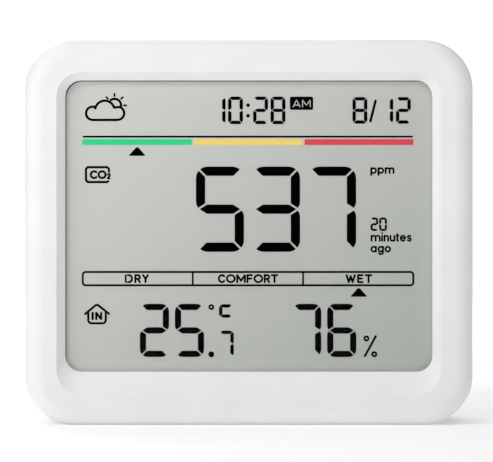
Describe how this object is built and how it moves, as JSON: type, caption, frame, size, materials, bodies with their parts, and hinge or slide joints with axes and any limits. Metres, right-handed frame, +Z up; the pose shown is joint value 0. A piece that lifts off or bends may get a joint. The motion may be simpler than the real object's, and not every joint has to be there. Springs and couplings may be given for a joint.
{
  "type": "carbon dioxide monitor",
  "caption": "Rounded desk monitor for carbon dioxide, temperature and humidity, with a recessed segment display, a top button and a fold-out stand.",
  "frame": {"origin": "middle of the case's width and depth, at the plane it stands on", "axes": "+X to the right as seen from the display side, +Y from the display to the back, +Z up"},
  "size_m": [0.092, 0.0256, 0.079],
  "materials": {
    "case_plastic": "fine satin texture, moulded",
    "button_plastic": "satin",
    "stand_plastic": "satin",
    "window_acrylic": "clear, polished",
    "tape_black": "foam tape",
    "lcd_glass": "grey display glass",
    "lcd_film": "polarising film, satin",
    "lcd_reflector_film": "reflective film",
    "frame_plastic": "moulded",
    "zebra_silicone": "layered silicone",
    "board_laminate": "solder mask",
    "chip_resin": "moulded resin",
    "tinned_steel": "tinned",
    "ferrite": "sintered",
    "capacitor_sleeve": "can with printed end",
    "sensor_gold": "gold plated can",
    "membrane_white": "porous membrane",
    "foam_black": "open foam",
    "mesh_black": "woven mesh",
    "flex_amber": "polyimide",
    "switch_black": "moulded",
    "cell_sleeve": "printed sleeve",
    "nickel": "nickel plated",
    "lead_red": "insulated wire",
    "lead_black": "insulated wire",
    "steel_pin": "ground",
    "screw_steel": "black zinc",
    "foot_silicone": "soft silicone"
  },
  "bodies": {
    "case": {"front_shell": "case_plastic", "rear_shell": "case_plastic", "casing_screws": "screw_steel", "window_adhesive": "tape_black", "display_window": "window_acrylic", "lcd_front_polariser": "lcd_film", "lcd_front_glass": "lcd_glass", "lcd_rear_glass": "lcd_glass", "lcd_reflector": "lcd_reflector_film", "lcd_zebra_connector": "zebra_silicone", "lcd_frame": "frame_plastic", "main_board": "board_laminate", "board_screws": "screw_steel", "microcontroller": "chip_resin", "lcd_driver": "chip_resin", "crystal": "tinned_steel", "boost_inductor": "ferrite", "storage_capacitors": "capacitor_sleeve", "usb_socket_shell": "tinned_steel", "usb_socket_tongue": "switch_black", "co2_sensor_cell": "sensor_gold", "co2_sensor_board": "board_laminate", "co2_sensor_headers": "switch_black", "co2_sensor_filter": "membrane_white", "sensor_gasket": "foam_black", "vent_dust_mesh": "mesh_black", "air_sensor_board": "board_laminate", "air_sensor_chip": "chip_resin", "air_sensor_flex": "flex_amber", "top_switch_body": "switch_black", "unit_switch_body": "switch_black", "aa_cell_upper": "cell_sleeve", "aa_cell_lower": "cell_sleeve", "battery_positive_plate": "nickel", "battery_negative_plate": "nickel", "battery_link_plate": "nickel", "battery_negative_spring": "nickel", "battery_link_spring": "nickel", "battery_lead_positive": "lead_red", "battery_lead_negative": "lead_black", "stand_hinge_pins": "steel_pin"},
    "top_button": {"top_button": "button_plastic", "top_switch_plunger": "switch_black"},
    "unit_button": {"unit_button": "button_plastic", "unit_switch_plunger": "switch_black"},
    "battery_door": {"battery_door": "case_plastic"},
    "kickstand": {"kickstand": "stand_plastic", "kickstand_foot": "foot_silicone"}
  },
  "joints": [
    {"name": "top_button_press", "type": "slide", "parent": "case", "child": "top_button", "axis": [0, 0, -1], "range_m": [0, 0.0005], "stiffness_N_per_m": 2500},
    {"name": "unit_button_press", "type": "slide", "parent": "case", "child": "unit_button", "axis": [0, -1, 0], "range_m": [0, 0.0005], "stiffness_N_per_m": 2500},
    {"name": "battery_door_tilt", "type": "hinge", "parent": "case", "child": "battery_door", "pos_m": [0, 0.0128, 0.01005], "axis": [-1, 0, 0], "range_deg": [0, 60]},
    {"name": "stand_hinge", "type": "hinge", "parent": "case", "child": "kickstand", "pos_m": [0, 0.0113, 0.0408], "axis": [1, 0, 0], "range_deg": [0, 35]}
  ]
}
